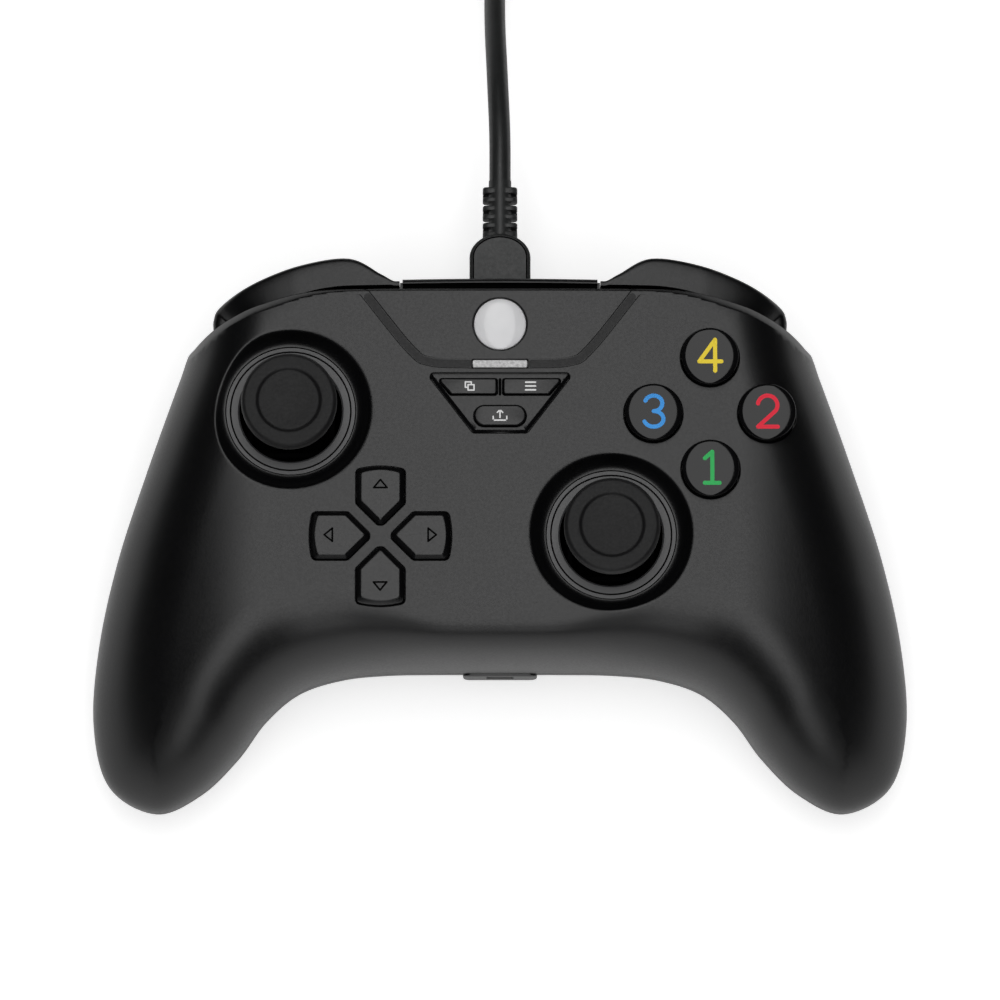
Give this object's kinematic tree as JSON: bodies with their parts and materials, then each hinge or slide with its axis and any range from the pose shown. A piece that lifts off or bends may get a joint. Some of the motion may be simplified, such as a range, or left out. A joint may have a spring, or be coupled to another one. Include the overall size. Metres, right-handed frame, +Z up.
{
  "type": "gamepad controller",
  "caption": "Two-handed gamepad with thumbsticks on gimbals, sprung direction keys, face buttons, bumpers and triggers, rumble motors, a headset jack and a detachable coiled lead.",
  "frame": {"origin": "middle of the underside's contact plane, under the centre of the housing's outline box", "axes": "+X to the player's right across the face, +Y away from the player towards the lead, +Z up out of the face"},
  "size_m": [0.1522, 0.2675, 0.053],
  "materials": {
    "shell": "fine satin texture",
    "gloss": "polished",
    "button": "polished dome",
    "key": "satin",
    "stick_rubber": "matt, soft touch",
    "ring": "satin",
    "home": "satin, pearl white",
    "light": "translucent, unlit",
    "trigger": "satin",
    "steel": "stamped sheet and turned pins",
    "inner_frame": "moulded, unpainted",
    "hub": "self-lubricating moulding",
    "mat": "silicone rubber",
    "board": "solder-resist green",
    "weight": "sintered heavy metal",
    "jack": "moulded",
    "cable": "extruded jacket",
    "tie": "woven hook and loop"
  },
  "bodies": {
    "housing": {"front_housing": "shell", "rear_housing": "shell", "top_bridge": "gloss", "trigger_frame": "inner_frame", "trigger_pins": "steel", "left_trigger_spring": "steel", "right_trigger_spring": "steel", "left_stick_ring": "ring", "right_stick_ring": "ring", "left_stick_frame": "steel", "right_stick_frame": "steel", "stick_sensors": "inner_frame", "tact_switches": "steel", "status_light": "light", "face_mat": "mat", "dpad_mat": "mat", "menu_mat": "mat", "main_board": "board", "board_screws": "steel", "housing_screws": "steel", "usb_socket": "steel", "headset_jack": "jack", "audio_board": "board", "left_rumble_motor": "steel", "right_rumble_motor": "steel", "cable_plug": "cable", "cable_lead": "cable", "cable_coil": "cable", "cable_tail": "cable", "usb_plug": "cable", "cable_tie": "tie"},
    "top_button": {"top_button": "button"},
    "left_button": {"left_button": "button"},
    "right_button": {"right_button": "button"},
    "bottom_button": {"bottom_button": "button"},
    "dpad_up": {"dpad_up": "key"},
    "dpad_down": {"dpad_down": "key"},
    "dpad_left": {"dpad_left": "key"},
    "dpad_right": {"dpad_right": "key"},
    "home": {"home_button": "home"},
    "view": {"view_button": "key"},
    "menu": {"menu_button": "key"},
    "share": {"share_button": "key"},
    "left_bumper": {"left_bumper": "gloss"},
    "left_trigger": {"left_trigger": "trigger"},
    "left_pitch": {"left_pitch_yoke": "inner_frame"},
    "left_roll": {"left_pivot_hub": "hub"},
    "left_stick": {"left_stick_shaft": "steel", "left_stick_cap": "stick_rubber"},
    "left_arch": {"left_roll_arch": "inner_frame"},
    "left_rumble": {"left_rumble_weight": "weight"},
    "right_bumper": {"right_bumper": "gloss"},
    "right_trigger": {"right_trigger": "trigger"},
    "right_pitch": {"right_pitch_yoke": "inner_frame"},
    "right_roll": {"right_pivot_hub": "hub"},
    "right_stick": {"right_stick_shaft": "steel", "right_stick_cap": "stick_rubber"},
    "right_arch": {"right_roll_arch": "inner_frame"},
    "right_rumble": {"right_rumble_weight": "weight"}
  },
  "joints": [
    {"name": "top_button_press", "type": "slide", "parent": "housing", "child": "top_button", "axis": [0, 0, -1], "range_m": [0, 0.0015], "stiffness_N_per_m": 333.3, "springref_m": -0.0015, "deforming": ["face_mat"]},
    {"name": "left_button_press", "type": "slide", "parent": "housing", "child": "left_button", "axis": [0, 0, -1], "range_m": [0, 0.0015], "stiffness_N_per_m": 333.3, "springref_m": -0.0015, "deforming": ["face_mat"]},
    {"name": "right_button_press", "type": "slide", "parent": "housing", "child": "right_button", "axis": [0, 0, -1], "range_m": [0, 0.0015], "stiffness_N_per_m": 333.3, "springref_m": -0.0015, "deforming": ["face_mat"]},
    {"name": "bottom_button_press", "type": "slide", "parent": "housing", "child": "bottom_button", "axis": [0, 0, -1], "range_m": [0, 0.0015], "stiffness_N_per_m": 333.3, "springref_m": -0.0015, "deforming": ["face_mat"]},
    {"name": "dpad_up_press", "type": "slide", "parent": "housing", "child": "dpad_up", "axis": [0, 0, -1], "range_m": [0, 0.0012], "stiffness_N_per_m": 500, "springref_m": -0.0012, "deforming": ["dpad_mat"]},
    {"name": "dpad_down_press", "type": "slide", "parent": "housing", "child": "dpad_down", "axis": [0, 0, -1], "range_m": [0, 0.0012], "stiffness_N_per_m": 500, "springref_m": -0.0012, "deforming": ["dpad_mat"]},
    {"name": "dpad_left_press", "type": "slide", "parent": "housing", "child": "dpad_left", "axis": [0, 0, -1], "range_m": [0, 0.0012], "stiffness_N_per_m": 500, "springref_m": -0.0012, "deforming": ["dpad_mat"]},
    {"name": "dpad_right_press", "type": "slide", "parent": "housing", "child": "dpad_right", "axis": [0, 0, -1], "range_m": [0, 0.0012], "stiffness_N_per_m": 500, "springref_m": -0.0012, "deforming": ["dpad_mat"]},
    {"name": "home_press", "type": "slide", "parent": "housing", "child": "home", "axis": [0, 0, -1], "range_m": [0, 0.0008], "stiffness_N_per_m": 875, "springref_m": -0.0008, "deforming": ["menu_mat"]},
    {"name": "view_press", "type": "slide", "parent": "housing", "child": "view", "axis": [0, 0, -1], "range_m": [0, 0.0006], "stiffness_N_per_m": 1000, "springref_m": -0.0006, "deforming": ["menu_mat"]},
    {"name": "menu_press", "type": "slide", "parent": "housing", "child": "menu", "axis": [0, 0, -1], "range_m": [0, 0.0006], "stiffness_N_per_m": 1000, "springref_m": -0.0006, "deforming": ["menu_mat"]},
    {"name": "share_press", "type": "slide", "parent": "housing", "child": "share", "axis": [0, 0, -1], "range_m": [0, 0.0006], "stiffness_N_per_m": 1000, "springref_m": -0.0006, "deforming": ["menu_mat"]},
    {"name": "left_bumper_press", "type": "hinge", "parent": "housing", "child": "left_bumper", "pos_m": [-0.0215, 0.0385, 0.035], "axis": [0, 0, 1], "range_deg": [0, 3], "stiffness_Nm_per_rad": 0.35, "springref_deg": -2.86},
    {"name": "left_trigger_pull", "type": "hinge", "parent": "housing", "child": "left_trigger", "pos_m": [-0.0392, 0.0347, 0.024], "axis": [-1, 0, 0], "range_deg": [0, 18], "stiffness_Nm_per_rad": 0.05, "springref_deg": -14.32, "deforming": ["left_trigger_spring"]},
    {"name": "left_stick_pitch", "type": "hinge", "parent": "housing", "child": "left_pitch", "pos_m": [-0.0387, 0.0196, 0.036], "axis": [1, 0, 0], "range_deg": [-18, 18], "stiffness_Nm_per_rad": 0.02},
    {"name": "left_stick_roll", "type": "hinge", "parent": "left_pitch", "child": "left_roll", "pos_m": [-0.0387, 0.0196, 0.036], "axis": [0, 1, 0], "range_deg": [-18, 18], "stiffness_Nm_per_rad": 0.02},
    {"name": "left_stick_click", "type": "slide", "parent": "left_roll", "child": "left_stick", "axis": [0, 0, -1], "range_m": [0, 0.0007], "stiffness_N_per_m": 2000, "springref_m": -0.0008},
    {"name": "left_arch_roll", "type": "hinge", "parent": "housing", "child": "left_arch", "pos_m": [-0.0387, 0.0196, 0.036], "axis": [0, 1, 0], "range_deg": [-18, 18]},
    {"name": "left_rumble_spin", "type": "hinge", "parent": "housing", "child": "left_rumble", "pos_m": [-0.057, -0.03, 0.014], "axis": [0, 1, 0], "continuous": true},
    {"name": "right_bumper_press", "type": "hinge", "parent": "housing", "child": "right_bumper", "pos_m": [0.0215, 0.0385, 0.035], "axis": [0, 0, -1], "range_deg": [0, 3], "stiffness_Nm_per_rad": 0.35, "springref_deg": -2.86},
    {"name": "right_trigger_pull", "type": "hinge", "parent": "housing", "child": "right_trigger", "pos_m": [0.0392, 0.0347, 0.024], "axis": [-1, 0, 0], "range_deg": [0, 18], "stiffness_Nm_per_rad": 0.05, "springref_deg": -14.32, "deforming": ["right_trigger_spring"]},
    {"name": "right_stick_pitch", "type": "hinge", "parent": "housing", "child": "right_pitch", "pos_m": [0.0205, -0.0036, 0.036], "axis": [1, 0, 0], "range_deg": [-18, 18], "stiffness_Nm_per_rad": 0.02},
    {"name": "right_stick_roll", "type": "hinge", "parent": "right_pitch", "child": "right_roll", "pos_m": [0.0205, -0.0036, 0.036], "axis": [0, 1, 0], "range_deg": [-18, 18], "stiffness_Nm_per_rad": 0.02},
    {"name": "right_stick_click", "type": "slide", "parent": "right_roll", "child": "right_stick", "axis": [0, 0, -1], "range_m": [0, 0.0007], "stiffness_N_per_m": 2000, "springref_m": -0.0008},
    {"name": "right_arch_roll", "type": "hinge", "parent": "housing", "child": "right_arch", "pos_m": [0.0205, -0.0036, 0.036], "axis": [0, 1, 0], "range_deg": [-18, 18]},
    {"name": "right_rumble_spin", "type": "hinge", "parent": "housing", "child": "right_rumble", "pos_m": [0.057, -0.03, 0.014], "axis": [0, 1, 0], "continuous": true}
  ],
  "couplings": [
    {"joint": "left_arch_roll", "follows": "left_stick_roll", "ratio": 1},
    {"joint": "right_arch_roll", "follows": "right_stick_roll", "ratio": 1}
  ]
}
